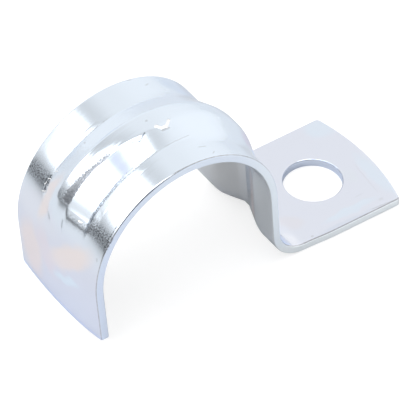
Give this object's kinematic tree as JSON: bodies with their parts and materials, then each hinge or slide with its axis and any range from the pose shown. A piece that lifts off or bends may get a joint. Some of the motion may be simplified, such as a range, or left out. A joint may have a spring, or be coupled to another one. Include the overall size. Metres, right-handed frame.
{
  "type": "conduit strap",
  "caption": "One-piece strap of bright zinc-plated sheet steel that arches over a conduit, with a pressed stiffening rib and one flat flange with a round screw hole.",
  "frame": {"origin": "centre of the screw hole in the wall plane, which is the underside of the flange", "axes": "+Z out of the wall, -X from the screw hole to the conduit, Y along the conduit"},
  "size_m": [0.0561, 0.021, 0.0302],
  "materials": {
    "zinc_plate": "bright zinc plate, faintly iridescent"
  },
  "bodies": {
    "root": {"strap": "zinc_plate"}
  },
  "joints": []
}
